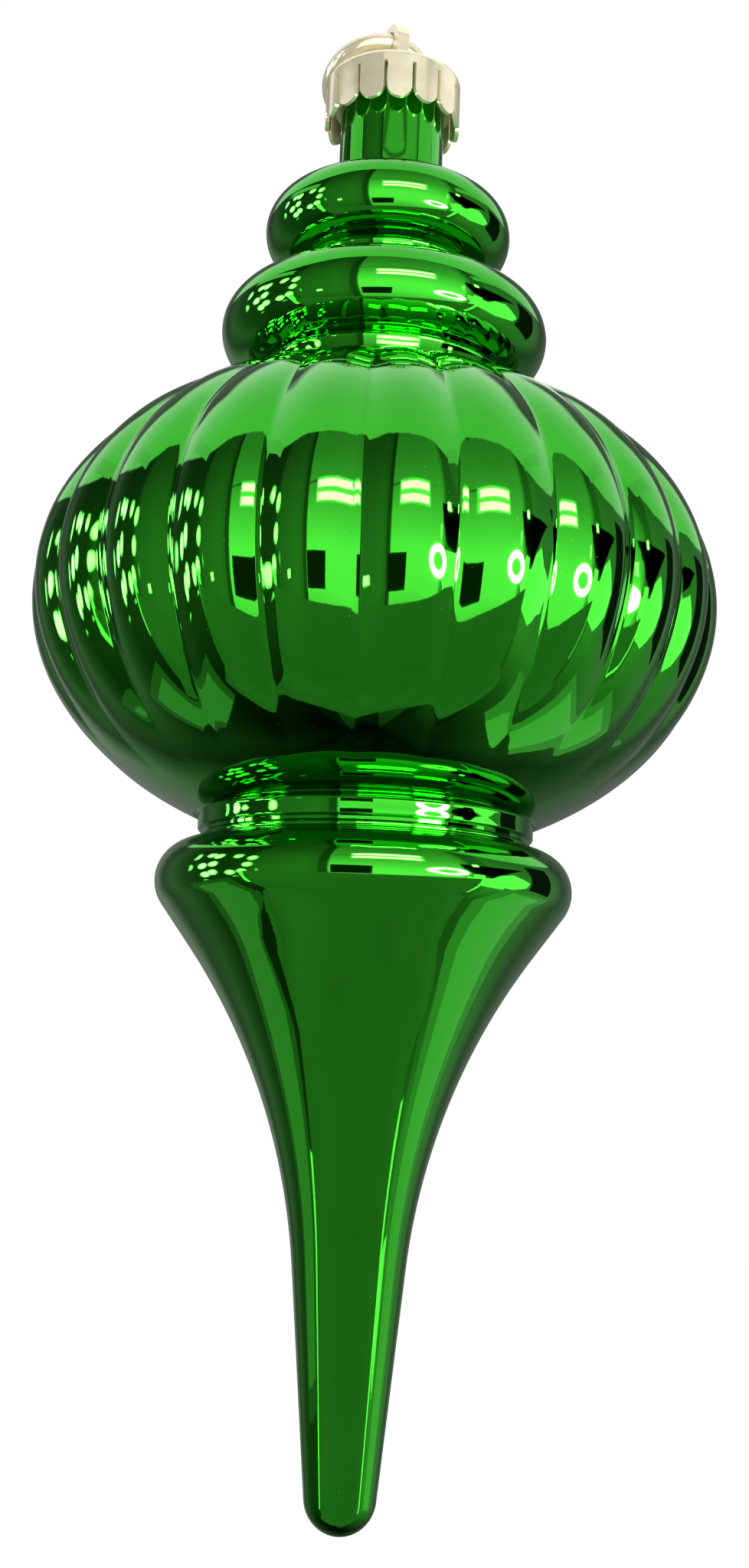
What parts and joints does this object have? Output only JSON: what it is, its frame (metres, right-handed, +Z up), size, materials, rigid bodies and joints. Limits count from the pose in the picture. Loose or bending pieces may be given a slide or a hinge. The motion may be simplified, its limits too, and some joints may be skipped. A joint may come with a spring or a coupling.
{
  "type": "finial ornament",
  "caption": "Hanging finial ornament with a fluted bulb under two rings, a long concave spike, a petalled crown cap and a hanging ring.",
  "frame": {"origin": "centre of the hole in the cap's eyelet, on the ornament's axis, where the hanging ring passes through", "axes": "+Z up the ornament's axis, away from the spike's tip; a crease of the bulb faces -Y; the hanging ring lies back towards -X and +Y"},
  "size_m": [0.1284, 0.1284, 0.2893],
  "materials": {
    "green_metallised": "mirror-bright metallised green",
    "champagne_metallised": "bright metallised champagne silver",
    "ring_metallised": "bright metallised champagne silver"
  },
  "bodies": {
    "root": {"ornament_body": "green_metallised", "crown_cap": "champagne_metallised", "hanging_ring": "ring_metallised"}
  },
  "joints": []
}
